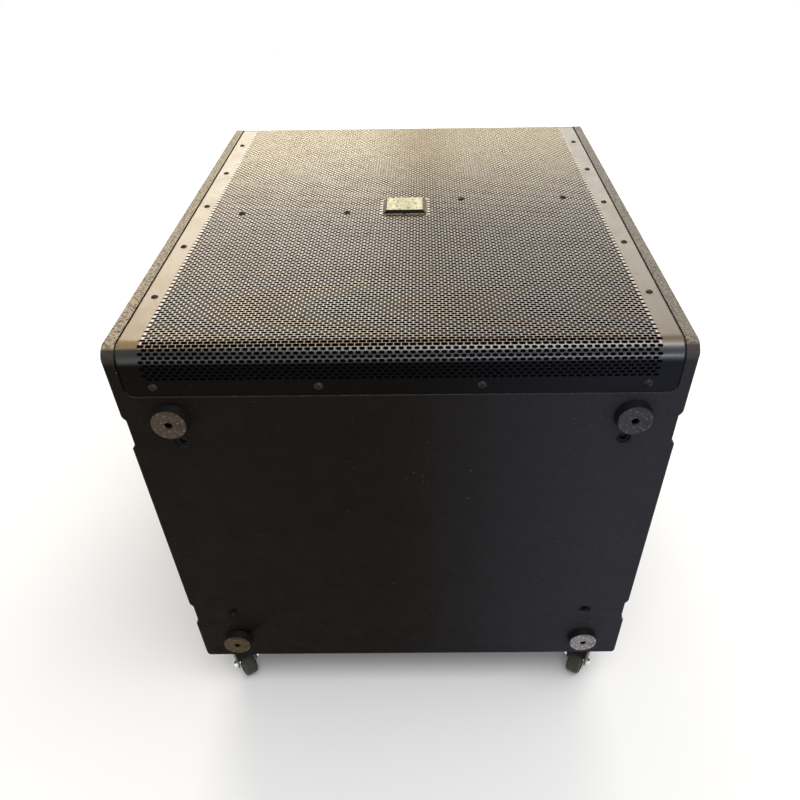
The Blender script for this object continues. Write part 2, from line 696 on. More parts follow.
def inserts():
    """A steel ring and thread in each hole of the bottom board, with a short plug."""
    threads = [(0.0046 - 0.0004 * (k % 2), -0.0068 + 0.0005 * k) for k in range(10)]
    collar = [(INSERT_RADIUS, -0.0020), (INSERT_RADIUS, -0.0072), (0.0046, -0.0072)]
    collar += threads + [(0.0050, -0.0026), (0.0062, -0.0020)]
    plug = [(0.0044, -0.0058), (0.0044, -0.0071), (0, -0.0071), (0, -0.0054), (0.0030, -0.0054)]
    things = []
    for place in insert_places():
        things.append(lathe(collar, at(place, "-Y"), LOOKS["badge_wall"], 40))
        things.append(lathe(plug, at(place, "-Y"), LOOKS["screw"], 24))
    finish(join(things), "threaded_inserts")


# Grille ----------------------------------------------------------------------------------------


def section_point(s, offset):
    """(y, z) at arc length s along the grille's outer section, moved inwards by offset."""
    if s > GRILLE_LENGTH / 2:
        y, z = section_point(GRILLE_LENGTH - s, offset)
        return GRILLE_LOW.y + GRILLE_HIGH.y - y, z
    if s <= GRILLE_UPRIGHT:
        return GRILLE_LOW.y + offset, GRILLE_LOW.z + s
    bent = min(s - GRILLE_UPRIGHT, BEND_LENGTH)
    angle, radius = math.pi - bent / BEND, BEND - offset
    y = GRILLE_LOW.y + BEND + radius * math.cos(angle) + s - GRILLE_UPRIGHT - bent
    return y, GRILLE_HIGH.z - BEND + radius * math.sin(angle)


def grille_stations():
    """Arc lengths of the lines between rows of holes, and the plain lines at both ends."""
    rows = round((GRILLE_LENGTH - 2 * PLAIN_BAND) / HOLE_ROWS)
    first = (GRILLE_LENGTH - rows * HOLE_ROWS) / 2
    lines = [first + HOLE_ROWS * k for k in range(rows + 1)]
    corner = [FLANGE_CORNER * (1 - math.cos(math.pi / 2 * k / 5)) for k in range(6)]
    near = corner + [(corner[-1] + first) / 2]
    far = [GRILLE_LENGTH - s for s in near[::-1]]
    return near, lines, far


def half_width(s):
    """Half the sheet's width, which shrinks round the corners of the flanges."""
    short = max(0.0, FLANGE_CORNER - min(s, GRILLE_LENGTH - s))
    return GRILLE_HALF - FLANGE_CORNER + math.sqrt(max(0.0, FLANGE_CORNER**2 - short**2))


def blank(x, s):
    """True under the badge, where the sheet isn't pierced."""
    y, z = section_point(s, 0)
    middle = (BADGE_LOW + BADGE_HIGH) / 2
    size = (BADGE_HIGH - BADGE_LOW) / 2
    return (
        z > GRILLE_HIGH.z - 1e-4
        and abs(x - middle.x) < size.x + 0.0035
        and abs(y - middle.y) < size.y + 0.0040
    )


def perforated_sheet(name, stations, pierced):
    """One closed strip of the grille between the first and last stations."""
    columns = 2 * HOLE_COUNT + 2
    span = (HOLE_COUNT + 0.5) * HOLE_PITCH
    inner = [-span / 2 + HOLE_PITCH / 2 * k for k in range(columns)]
    verts, faces, flatness = [], [], []

    def add(x, s, offset, flat):
        verts.append((x, *section_point(s, offset)))
        flatness.append(flat)
        return len(verts) - 1

    layers = []
    for offset in (0.0, SHEET):
        grid = []
        for s in stations:
            edge = half_width(s)
            line = [-edge, *inner, edge]
            plain = [k < 2 or k > columns - 1 or blank(x, s) for k, x in enumerate(line)]
            flats = [MARGIN_FLATNESS if p else 1.0 for p in plain]
            grid.append([add(x, s, offset, flat) for x, flat in zip(line, flats)])
        layers.append(grid)
    outer, under = layers

    def cell(row, c):
        """A plain cell half a pitch wide."""
        for grid in layers:
            quad = [grid[row][c], grid[row][c + 1], grid[row + 1][c + 1], grid[row + 1][c]]
            faces.append(quad[::-1] if grid is under else quad)

    def hole(row, c, middle):
        """Two cells with a six-sided hole, its corners counterclockwise from the right."""
        a, b, h = HOLE_LENGTH / 2, HOLE_LENGTH * 0.31, HOLE_HEIGHT / 2
        rims = []
        for grid, offset in zip(layers, (0.0, SHEET)):
            corners = [(a, 0), (b, h), (-b, h), (-a, 0), (-b, -h), (b, -h)]
            rim = [add(inner[c] + dx, middle + ds, offset, 0.0) for dx, ds in corners]
            low, up = grid[row][c : c + 3], grid[row + 1][c : c + 3]
            border = [low[2], up[2], up[1], up[0], low[0], low[1]]
            for i in range(6):
                j = (i + 1) % 6
                for face in ((border[i], border[j], rim[i]), (border[j], rim[j], rim[i])):
                    faces.append(face[::-1] if grid is under else face)
            rims.append(rim)
        for i in range(6):
            j = (i + 1) % 6
            faces.append((rims[0][i], rims[0][j], rims[1][j], rims[1][i]))

    for row in range(len(stations) - 1):
        middle = (stations[row] + stations[row + 1]) / 2
        shift = round(middle / HOLE_ROWS) % 2
        first = 1 + shift if pierced[row] else columns + 1
        last = first + 2 * HOLE_COUNT - 1 if pierced[row] else first
        for c in [*range(first), *range(last + 1, columns + 1)]:
            cell(row, c)
        for c in range(first, last, 2):
            if blank(inner[c], middle):
                cell(row, c)
                cell(row, c + 1)
            else:
                hole(row, c, middle)
    last = len(stations) - 1
    for row in range(last):
        for c in (0, columns + 1):
            quad = [outer[row][c], outer[row + 1][c], under[row + 1][c], under[row][c]]
            faces.append(quad if c == 0 else quad[::-1])
    for c in range(columns + 1):
        faces.append((outer[0][c + 1], outer[0][c], under[0][c], under[0][c + 1]))
        faces.append((outer[last][c], outer[last][c + 1], under[last][c + 1], under[last][c]))
    mesh = bpy.data.meshes.new(name)
    mesh.from_pydata(verts, [], faces)
    mesh.attributes.new("flatness", "FLOAT", "POINT").data.foreach_set("value", flatness)
    mesh.materials.append(LOOKS["coat"])
    finish(smooth(show(name, mesh), 30), name, replaces=["grille"])


def grille():
    """The sheet in four strips, from the bottom flange over the front to the top one."""
    near, lines, far = grille_stations()
    stations = near + lines + far
    pierced = [len(near) <= k < len(near) + len(lines) - 1 for k in range(len(stations) - 1)]
    strips = 4
    cuts = [round((len(stations) - 1) * k / strips) for k in range(strips + 1)]
    for k, (first, last) in enumerate(zip(cuts, cuts[1:])):
        perforated_sheet(f"grille_strip_{k + 1}", stations[first : last + 1], pierced[first:last])


def foam():
    """The foam sheet behind the holes, with an uneven surface."""
    back, thick, depth, uneven = 0.0022, 0.0045, 0.037, 0.00018
    half = GRILLE_HALF - 0.0215
    rows, columns = 84, 60
    rng = random.Random(3)
    shape = bmesh.new()
    grids = []
    for offset in (back, back + thick):
        path = np.array(wrap_path(offset, depth, 10))
        lengths = np.append(0.0, np.cumsum(np.hypot(*np.diff(path, axis=0).T)))
        grid = []
        for s in np.linspace(0, lengths[-1], rows + 1):
            y, z = [np.interp(s, lengths, column) for column in path.T]
            line = []
            for c in range(columns + 1):
                place = (-half + 2 * half * c / columns, y, z)
                line.append(shape.verts.new([v + rng.uniform(-uneven, uneven) for v in place]))
            grid.append(line)
        grids.append(grid)
    for grid in grids:
        for r in range(rows):
            for c in range(columns):
                shape.faces.new((grid[r][c], grid[r][c + 1], grid[r + 1][c + 1], grid[r + 1][c]))
    top, low = grids
    for r in range(rows):
        for c in (0, columns):
            shape.faces.new((top[r][c], top[r + 1][c], low[r + 1][c], low[r][c]))
    for c in range(columns):
        for r in (0, rows):
            shape.faces.new((top[r][c], top[r][c + 1], low[r][c + 1], low[r][c]))
    thing = smooth(make(shape, LOOKS["foam"]), 60)
    finish(thing, "foam_backing", replaces=["grille_foam"])


def screw(matrix, radius=0.0042, height=0.0021, turn=0.0, material="screw"):
    """A raised-head screw with a washer face and a cross recess."""
    rim = 0.0006
    angles = [math.pi / 12 * k for k in range(6)]
    dome = [(radius * math.cos(a), rim + (height - rim) * math.sin(a)) for a in angles]
    profile = [(radius * 1.12, -0.0002), (radius * 1.12, 0.0003), *dome, (0, height), (0, -0.0002)]
    head = lathe(profile, matrix, LOOKS[material], 20, 30)
    reach, thick = radius * 0.62, radius * 0.17
    arms = []
    for x, y in ((thick, reach), (reach, thick)):
        arm = block((-x, -y, height * 0.45), (x, y, height + 0.002))
        arm.data.transform(matrix @ Matrix.Rotation(turn, 4, "Z"))
        arms.append(arm)
    head.data.transform(matrix)
    head.matrix_world = Matrix.Identity(4)
    return smooth(combine(head, arms), 30)


def grille_screws():
    """Along both flanges and both margins, and into the strap behind the middle."""
    front, flange_z = GRILLE_HIGH.z, Z_FRONT - 0.0464
    margin_x, spacing = 0.2770, 0.1240
    middle_y = (STRAP_LOW.y + STRAP_HIGH.y) / 2
    places = []
    for x in (-0.2585, -0.0855, 0.0850, 0.2580):
        places.append(("flange_screws_bottom", (x, GRILLE_LOW.y, flange_z), "-Y"))
        places.append(("flange_screws_top", (x, GRILLE_HIGH.y, flange_z), "Y"))
    for side, x in (("left", -margin_x), ("right", margin_x)):
        for k in range(-2, 3):
            places.append((f"margin_screws_{side}", (x, middle_y + 0.004 + k * spacing, front), "Z"))
    for x, shift in ((-0.2228, -0.0215), (-0.0785, -0.0220), (0.0790, 0.0203), (0.2228, 0.0215)):
        places.append(("strap_screws", (x, middle_y + shift, front), "Z"))
    kinds = {
        "flange": (0.0042, 0.0021, "flange_screw"),
        "margin": (0.0036, 0.0017, "screw"),
        "strap": (0.0042, 0.0022, "screw"),
    }
    groups = {}
    for name, place, facing in places:
        radius, height, material = kinds[name.split("_")[0]]
        one = screw(at(place, facing), radius, height, random.uniform(0, 1.5), material)
        groups.setdefault(name, []).append(one)
    for name, things in groups.items():
        finish(join(things), name)


def badge():
    """The blank plate: sloped walls, a thin raised rim and a plain cast relief."""
    low, high = BADGE_LOW, BADGE_HIGH
    middle, base = plan("badge_plate")
    top = (0.049, 0.0415)
    rings = []
    for size, z, radius in (
        (base, low.z, 0.0016),
        (base, low.z + 0.0006, 0.0016),
        (top, high.z - 0.0003, 0.0010),
        ([v - 0.0006 for v in top], high.z, 0.0008),
        ([v - 0.0034 for v in top], high.z, 0.0006),
        ([v - 0.0040 for v in top], high.z - 0.0005, 0.0005),
    ):
        rings.append([(x, y, z) for x, y in around(middle, size, radius, 4)])
    plate = smooth(loft(rings, LOOKS["badge"]), 25)
    plate.data.materials.append(LOOKS["badge_wall"])
    plate.data.materials.append(LOOKS["badge_side"])
    for face in plate.data.polygons:
        if low.z + 0.0006 < face.center.z < high.z - 0.0003 and abs(face.normal.z) < 0.95:
            face.material_index = 1 if abs(face.normal.y) > 0.5 else 2
    relief = []
    for k in range(-2, 3):
        centre, size = (middle[0], middle[1] + k * 0.0068), (0.031 - 0.004 * abs(k), 0.0030)
        relief.append(slab(centre, size, 0.0014, high.z - 0.0009, high.z - 0.0001, LOOKS["badge"], 4))
    finish(join([plate, *relief]), "badge_block", replaces=["badge_plate"])


# Feet, handles and pole socket -------------------------------------------------------------------

FOOT_TONES = {
    "front_left": (0.056, 0.039, 0.026),
    "front_right": (0.032, 0.031, 0.036),
    "rear_left": (0.058, 0.040, 0.018),
    "rear_right": (0.200, 0.184, 0.186),
}


def feet():
    """Tapered rubber feet with two rings in the face, each with its own wear, on a sunk screw."""
    for place, tone in FOOT_TONES.items():
        node = f"foot_{place}"
        (x, z), size = plan(node, "xz")
        radius, length = size[0] / 2, Y_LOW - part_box(node)[0].y
        tip, edge, bore = radius - 0.0018, 0.0020, 0.0042
        rings = [(bore, 0.0062), (bore, length - 0.0012), (0.0050, length - 0.0003)]
        for r in (0.0085, 0.0135):
            rings += [(r - 0.0006, length - 0.0001), (r, length - 0.0004), (r + 0.0006, length - 0.0001)]
        rings += arc((tip - edge, length - edge), edge, 90, 8, 6)
        rings += [(radius - 0.0002, 0.0018), (radius, 0.0012), (radius - 0.0006, 0.0), (bore, 0.0)]
        body = lathe(rings, at((x, Y_LOW, z), "-Y"), rubber(f"rubber_{place}", tone, length), 64)
        finish(body, f"rubber_{node}", replaces=[node])
        seat = Y_LOW - 0.0030
        ring = [(0.0041, 0), (0.0041, 0.001), (0.0018, 0.001), (0.0018, 0)]
        washer = lathe(ring, at((x, seat, z), "-Y"), LOOKS["screw"], 32)
        head = screw(at((x, seat - 0.001, z), "-Y"), 0.0032, 0.0018, 0.4)
        finish(join([washer, head]), f"foot_screw_{place}")


def handle(side, sign):
    """The moulded pan, its flange with six screws, and a ribbed grip."""
    node = f"handle_{side}"
    low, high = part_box(node)
    middle, flange = plan(node, "yz")
    pan = [v - 0.022 for v in flange]
    deep = high.x - low.x

    def layer(size, radius, near, far, material=None):
        ends = sorted((sign * (HALF - near), sign * (HALF - far)))
        return prism(around(middle, size, radius, 8), *ends, "X", material)

    body = layer(flange, 0.0157, 0, 0.0025, LOOKS["handle"])
    combine(body, [layer(pan, 0.0137, 0.0012, deep)], "UNION")
    combine(body, [layer([v - 0.005 for v in pan], 0.0112, -OVERSHOOT, deep - 0.0025)])
    parts = [soften(body, 0.0012, 3)]
    reach, count = pan[1] / 2 - 0.002, 64
    section = around((0, 0), (0.018, 0.026), 0.0065, 8)
    rings = []
    for k in range(count + 1):
        along = -reach + 2 * reach * k / count
        swell = 1 - 0.10 * (abs(along) < reach * 0.86) * (k % 2)
        x = sign * (HALF - 0.010)
        rings.append([(x + a * swell, middle[0] + b * swell, middle[1] + along) for a, b in section])
    parts.append(smooth(loft(rings, LOOKS["handle"]), 45))
    for dy in (-1, 1):
        for dz in (-1, 0, 1):
            y, z = middle[0] + dy * (flange[0] / 2 - 0.0055), middle[1] + dz * (flange[1] / 2 - 0.016)
            place = at((sign * (HALF - 0.0002), y, z), "X" if sign > 0 else "-X")
            parts.append(screw(place, 0.0034, 0.0014, 0.5 * dz))
    finish(join(parts), f"handle_pan_{side}", replaces=[node])


def pole_socket():
    """A lined cup in the top panel, with four screws in its flange."""
    low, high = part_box("pole_socket")
    (x, z), size = plan("pole_socket", "xz")
    radius, deep, wall, bore, circle = size[0] / 2, high.y - low.y, 0.0225, 0.0177, 0.0325
    profile = [(0, -0.080), (bore, -0.080), (bore, -0.003)]
    profile += arc((bore + 0.003, -0.003), 0.003, 180, 90, 5)
    profile += arc((radius - 0.0015, -0.0015), 0.0015, 90, 0, 4)
    profile += [(radius, -0.0025), (wall, -0.0025), (wall, -deep), (0, -deep)]
    parts = [lathe(profile, at((x, high.y, z), "Y"), LOOKS["plastic"], 72)]
    for k in range(4):
        angle = math.pi / 4 + math.pi / 2 * k
        place = (x + circle * math.cos(angle), high.y - 0.0002, z + circle * math.sin(angle))
        parts.append(screw(at(place, "Y"), 0.0036, 0.0015, angle))
    finish(join(parts), "pole_cup", replaces=["pole_socket"])


# Casters -----------------------------------------------------------------------------------------

PLATE_THICK = 0.0025
SLOT = (0.0062, 0.0095)
SLOT_SPREAD = (0.0205, 0.0275)
FORK_HALF = 0.0150
FORK_INSIDE = 0.0130
WHEEL_HALF = 0.0100
WASHER_OUT = 0.0157


def caster_top(name, crown):
    """The fixed part: a plate with four slots and screws, and the swivel bearing's race."""
    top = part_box(f"{name}_plate")[1].z
    under = top - PLATE_THICK
    middle, size = plan(f"{name}_plate")
    plate = slab(middle, size, 0.006, under, top, LOOKS["black_steel"])
    holes, screws = [], []
    for dx in (-1, 1):
        for dy in (-1, 1):
            spot = (middle[0] + dx * SLOT_SPREAD[0], middle[1] + dy * SLOT_SPREAD[1])
            holes.append(cutout(spot, SLOT, 0.0030, under, 5))
            screws.append(screw(at((*spot, under - 0.0001), "-Z"), 0.0046, 0.0026, dx + dy))
    soften(combine(plate, holes), 0.0004)
    race = [(0, top - 0.0005), (0.0200, top - 0.0005), (0.0200, under - 0.0015)]
    race += arc((0.0170, under - 0.0045), 0.0030, 60, -50, 5)
    race += [(0.0160, crown + 0.0016), (0.0148, crown + GAP), (0.0050, crown + GAP)]
    race += [(0.0050, crown - 0.0023), (0.0088, crown - 0.0023), (0.0088, crown - 0.0036)]
    race += [(0.0070, crown - 0.0054), (0, crown - 0.0056)]
    boss = lathe(race, at((*middle, 0)), LOOKS["black_steel"])
    finish(join([plate, boss, *screws]), f"{name}_top", replaces=[f"{name}_plate"])


def caster_yoke(name, crown, trail, radius, local):
    """The swivelling fork: a hood that slopes back over the wheel, and two legs to the axle."""
    hood, back, end = -0.024, -0.034, crown - 0.0095
    outline = [(0.013, crown - 0.007)] + arc((0.011, crown - 0.002), 0.002, 0, 90, 3)
    outline += arc((hood + 0.001, crown - 0.004), 0.004, 90, 132, 3) + [(back, end)]
    outline += arc((-trail, radius), 0.0080, 180, 360, 14)
    fork = prism(outline, -FORK_HALF, FORK_HALF, "X", LOOKS["black_steel"])
    slope = Vector((back - hood, end - crown)).normalized()
    bend = Vector((hood + 0.0009, crown - 0.0020))
    inside = [(0.030, bend.y), tuple(bend), tuple(bend + 0.025 * slope), (bend.x, -0.01), (0.03, -0.01)]
    combine(fork, [prism(inside, -FORK_INSIDE, FORK_INSIDE, "X"), rod(0.0053, -0.05, 0.2)])
    soften(fork, 0.0006)
    fork.data.transform(local)
    ring = [(0.0060, 0.0001), (0.0140, 0.0001), (0.0136, 0.0002), (0.0060, 0.0002)]
    cover = lathe([(r, crown + h) for r, h in ring], local, LOOKS["black_steel"], 40)
    finish(join([fork, cover]), f"{name}_yoke_shell", f"{name}_yoke", [f"{name}_fork"])


def caster_axle(name, axle):
    """A bolt with a hexagonal nut and a washer at each end."""
    end = [(0.0030, 0.0200), (0.0028, 0.0206), (0, 0.0206)]
    parts = [lathe([(r, -h) for r, h in end[::-1]] + end, axle, LOOKS["bright"], 24)]
    for sign in (-1, 1):
        low, high = sorted((sign * WASHER_OUT, sign * 0.0196))
        nut = prism(arc((0, 0), 0.0061, 0, 300, 5), low, high, "Z", LOOKS["bright"])
        nut.data.transform(axle)
        low, high = sorted((sign * (FORK_HALF + 0.00005), sign * WASHER_OUT))
        ring = [(0.0032, low), (0.0066, low), (0.0066, high), (0.0032, high)]
        parts += [soften(nut, 0.0006), lathe(ring, axle, LOOKS["bright"], 32)]
    finish(join(parts), f"{name}_axle_bolt", f"{name}_yoke", [f"{name}_axle"])


def caster_wheel(name, radius, axle):
    """A wheel with a rounded tread, a sunk web and a hub."""
    half = WHEEL_HALF
    side = [(0.0034, half), (0.0090, half), (0.0096, half - 0.0012), (0.0180, half - 0.0020)]
    side += [(0.0188, half - 0.0002), *arc((radius - 0.0045, half - 0.0045), 0.0045, 90, 0, 6)]
    wheel = lathe(side + [(r, -h) for r, h in side[::-1]], axle, LOOKS["wheel"], 72)
    finish(wheel, f"{name}_rim", f"{name}_wheel", [f"{name}_wheel"])


def caster(place):
    """One swivel caster, turned as its joints say."""
    name = f"caster_{place}"
    joints = {j["name"]: j for j in frame["joints"]}
    pivot = Vector(joints[f"{name}_swivel"]["pos_m"])
    roll = joints[f"{name}_roll"]
    hub, axis = Vector(roll["pos_m"]), Vector(roll["axis"])
    turn = Matrix.Rotation(math.atan2(axis.y, axis.x), 4, "Z")
    local = Matrix.Translation((pivot.x, pivot.y, 0)) @ turn
    trail = math.dist(pivot.xy, hub.xy)
    axle = local @ Matrix.Translation((0, -trail, hub.z)) @ FACING["X"]
    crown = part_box(f"{name}_fork")[1].z
    caster_top(name, crown)
    caster_yoke(name, crown, trail, hub.z, local)
    caster_axle(name, axle)
    caster_wheel(name, hub.z, axle)


# Amplifier ---------------------------------------------------------------------------------------

SOCKETS = ("input_socket_left", "input_socket_right")
FRAMED = (*SOCKETS, "mains_inlet", "power_switch")
OPENINGS = {"mains_inlet": (0.0278, 0.0208), "power_switch": (0.0138, 0.0218)}
SCALE_TICKS, SCALE_STEP = 11, 30


def amplifier_plate(face):
    """The rear plate with its openings, screws, the knob's scale and a printed frame round each unit."""
    middle, size = plan("amp_plate")
    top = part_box("amp_plate")[1].z
    plate = slab(middle, size, 0.006, face, top, LOOKS["black_steel"], 8)
    knob = (*plan("level_knob")[0], face)
    cutters = [rod(0.0120, -THROUGH, THROUGH, (*plan(node)[0], face)) for node in SOCKETS]
    cutters.append(rod(0.0042, -THROUGH, THROUGH, knob))
    for node, opening in OPENINGS.items():
        cutters.append(cutout(plan(node)[0], opening, 0.001, face, 2))
    parts = [soften(combine(plate, cutters), 0.0006)]
    for dx, dy in ((-1, -1), (-1, 1), (0, -1), (0, 1), (1, -1), (1, 1), (-1, 0), (1, 0)):
        place = (middle[0] + dx * 0.142, middle[1] + dy * 0.1025, face)
        parts.append(screw(at(place, "-Z"), 0.0040, 0.0019, dx + 0.3 * dy))
    for k in range(SCALE_TICKS):
        far = 0.0190 if k % 5 == 0 else 0.0178
        tick = block((0.0155, -0.0003, -0.00006), (far, 0.0003, 0.0001), LOOKS["print"])
        tick.data.transform(at(knob, "-Z", math.radians(240 - SCALE_STEP * k)))
        parts.append(tick)
    for node in FRAMED:
        spot, unit = plan(node)
        outer, inner = [v + 0.0060 for v in unit], [v + 0.0052 for v in unit]
        line = slab(spot, outer, 0.003, face - 0.00008, face + 0.0001, LOOKS["print"], 4)
        parts.append(combine(line, [cutout(spot, inner, 0.0026, face, 4)]))
    finish(join(parts), "amplifier_plate", replaces=["amp_plate"])


def heatsink():
    """Fins with round edges on a flat base."""
    low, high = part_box("amp_heatsink")
    fins, fin, base, pitch, fillet = 10, 0.003, 0.004, 0.012, 0.001
    root = high.z - base
    outline = [(low.x, high.z)]
    for k in range(fins):
        start = low.x + k * pitch
        x0, x1 = start + fin, start + pitch
        outline += arc((start + fin / 2, low.z + fin / 2), fin / 2, 180, 360, 5)
        if k < fins - 1:
            outline += [(x0, root - fillet), (x0 + fillet, root), (x1 - fillet, root), (x1, root - fillet)]
    outline.append((low.x + (fins - 1) * pitch + fin, high.z))
    sink = smooth(prism(outline, low.y, high.y, "Y", LOOKS["aluminium"]), 25)
    finish(sink, "heatsink_fins", replaces=["amp_heatsink"])


def signal_socket(node):
    """A three-pole socket: flange with two screws, steel barrel, insert with holes and a latch."""
    (x, y), size = plan(node)
    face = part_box(node)[0].z
    flange = slab((x, y), size, 0.003, face, face + 0.002, LOOKS["cast"])
    combine(flange, [rod(0.0102, -THROUGH, THROUGH, (x, y, face))])
    profile = [(0.0102, 0.0002), (0.0110, 0.0002), (0.0116, 0.0035)]
    profile += [(0.0116, 0.0262), (0.0094, 0.0262), (0.0094, 0.0030)]
    barrel = lathe(profile, at((x, y, face)), LOOKS["zinc"])
    insert = rod(0.0096, 0.0020, 0.0255, (x, y, face), "Z", LOOKS["plastic"])
    holes = []
    for turn in (90, 210, 330):
        angle, circle = math.radians(turn), 0.0045
        hole = (x + circle * math.cos(angle), y - circle * math.sin(angle), face)
        holes.append(rod(0.0015, 0.001, 0.014, hole, steps=20))
    holes.append(rod(0.0016, 0.001, 0.006, (x, y - 0.0088, face), steps=16))
    combine(insert, holes)
    spot = (x, y + 0.0125)
    latch = slab(spot, (0.0080, 0.0040), 0.001, face - 0.0012, face + 0.001, LOOKS["zinc"], 3)
    parts = [soften(flange, 0.0004), barrel, soften(insert, 0.0003, 1), soften(latch, 0.0004)]
    for sign in (-1, 1):
        place = (x + sign * 0.0098, y - sign * 0.0122, face)
        parts.append(screw(at(place, "-Z"), 0.0024, 0.0011, 0.7))
    finish(join(parts), node.replace("input", "signal"), replaces=[node])


def mains_inlet():
    """A three-pole inlet with a chamfered recess and flat blades."""
    low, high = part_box("mains_inlet")
    (x, y), size = plan("mains_inlet")
    body = slab((x, y), size, 0.003, low.z, low.z + 0.002, LOOKS["plastic"])
    housing = slab((x, y), (0.0270, 0.0200), 0.002, low.z + 0.001, high.z, steps=4)
    half = [(0.0085, -0.0080), (0.0120, -0.0050), (0.0120, 0.0080)]
    outline = [(x - a, y + b) for a, b in half[::-1]] + [(x + a, y + b) for a, b in half]
    combine(body, [housing], "UNION")
    combine(body, [prism(outline, low.z - 0.01, low.z + 0.0172)])
    parts = [soften(body, 0.0004)]
    for dx, dy in ((-0.007, 0.003), (0.007, 0.003), (0, -0.003)):
        start = (x + dx - 0.001, y + dy - 0.002, low.z + 0.0045)
        end = (x + dx + 0.001, y + dy + 0.002, low.z + 0.0185)
        parts.append(soften(block(start, end, LOOKS["bright"]), 0.0004))
    for sign in (-1, 1):
        parts.append(screw(at((x + sign * 0.0200, y, low.z), "-Z"), 0.0030, 0.0013, 0.2 * sign))
    finish(join(parts), "mains_socket", replaces=["mains_inlet"])


def level_knob(face):
    """A fluted knob with a printed mark."""
    place = at((*plan("level_knob")[0], face), "-Z")
    profile = [(0, 0.0158), *arc((0.0085, 0.0143), 0.0015, 90, 10, 4), (0.0112, 0.0030)]
    profile += [(0.0124, 0.0012), (0.0120, 0.0009), (0.0030, 0.0009), (0.0030, -0.0118), (0, -0.0118)]
    knob = lathe(profile, place, LOOKS["plastic"], 60)
    knob.data.transform(knob.matrix_world)
    knob.matrix_world = Matrix.Identity(4)
    count, circle = 20, 0.0116
    flutes = []
    for k in range(count):
        angle = 2 * math.pi * k / count
        spot = Matrix.Translation((circle * math.cos(angle), circle * math.sin(angle), 0))
        flute = rod(0.0009, 0.0035, 0.0135, steps=10)
        flute.data.transform(place @ spot)
        flutes.append(flute)
    smooth(combine(knob, flutes), 30)
    mark = block((-0.0005, 0.0030, 0.0150), (0.0005, 0.0092, 0.01595), LOOKS["print"])
    mark.data.transform(place)
    finish(join([knob, mark]), "level_dial", "level_knob", ["level_knob"])


def power_switch():
    """The housing, and a rocker with a dished face and two printed marks."""
    low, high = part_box("power_switch")
    spot, size = plan("power_switch")
    case = slab(spot, size, 0.002, low.z, low.z + 0.002, LOOKS["plastic"], 5)
    combine(case, [slab(spot, (0.0130, 0.0210), 0.001, low.z + 0.001, high.z, steps=2)], "UNION")
    well = slab(spot, (0.0112, 0.0180), 0.0006, low.z - THROUGH, low.z + 0.0095, steps=2)
    combine(case, [well])
    finish(soften(case, 0.0004), "switch_case", replaces=["power_switch"])
    joint = next(j for j in frame["joints"] if j["name"] == "power_rocker_tilt")
    tilt = Matrix.Translation(joint["pos_m"]) @ Matrix.Rotation(math.radians(-8), 4, "X")
    half = [(-0.0078, -0.0030), (-0.0074, -0.0034), (-0.0040, -0.0021)]
    outline = half + [(0, -0.0013)] + [(-a, b) for a, b in half[::-1]]
    outline += [(0.0070, 0.0015), (0, 0.0045), (-0.0070, 0.0015)]
    rocker = soften(prism(outline, -0.0051, 0.0051, "X", LOOKS["red"]), 0.0004)
    bar = block((-0.0004, 0.0035, -0.0026), (0.0004, 0.0062, -0.0017), LOOKS["print"])
    circle = [(0.0011, -0.0027), (0.0017, -0.0029), (0.0017, -0.0017), (0.0011, -0.0017)]
    ring = lathe(circle, Matrix.Identity(4), LOOKS["print"], 24)
    ring.data.transform(Matrix.Translation((0, -0.0048, 0)))
    for thing in (rocker, bar, ring):
        thing.data.transform(tilt)
    finish(join([rocker, bar, ring]), "rocker_key", "power_rocker", ["power_rocker"])


def amplifier():
    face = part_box("amp_plate")[0].z
    amplifier_plate(face)
    heatsink()
    for node in SOCKETS:
        signal_socket(node)
    mains_inlet()
    level_knob(face)
    power_switch()


# Woofer and the other insides ----------------------------------------------------------------------


def flexing(name, node, profile, material):
    """A ring that joins the frame, at radius held, to the moving parts, at radius free."""
    centre = (WOOFER_X, WOOFER_Y, Z_BAFFLE)
    ring = lathe(profile, Matrix.Translation(centre), material, 96, 50)
    ring.name = name
    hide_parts(node)
    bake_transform(ring)


def woofer():
    """The surround, one roll between two flat rims, and the spider, a disc of waves."""
    base, middle, roll, skin = 0.0053, 0.198, 0.008, 0.0015
    under = arc((middle, base), roll - skin, 0, 180, 14)
    over = arc((middle, base + skin), roll, 180, 0, 14)
    surround = [(0.222, base + skin), (0.222, base)] + under + [(0.180, base), (0.180, base + skin)] + over
    flexing("surround_roll", "woofer_surround", surround, LOOKS["surround"])
    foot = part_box("woofer_spider")[0].z - Z_BAFFLE
    outer, inner, count = 0.110, 0.0517, 33
    crest, plain, fade, wave = 0.0030, 0.104, 0.006, 0.0105
    lower = []
    for k in range(count):
        r = outer - (outer - inner) * k / (count - 1)
        inside = min(1.0, max(0.0, (plain - r) / fade)) * min(1.0, max(0.0, (r - 0.054) / fade))
        lower.append((r, foot + crest * inside * (1 - math.cos(2 * math.pi * (plain - r) / wave))))
    upper = [(r, h + skin) for r, h in lower]
    spider = upper[:1] + lower + upper[:0:-1]
    flexing("spider_disc", "woofer_spider", spider, LOOKS["spider"])


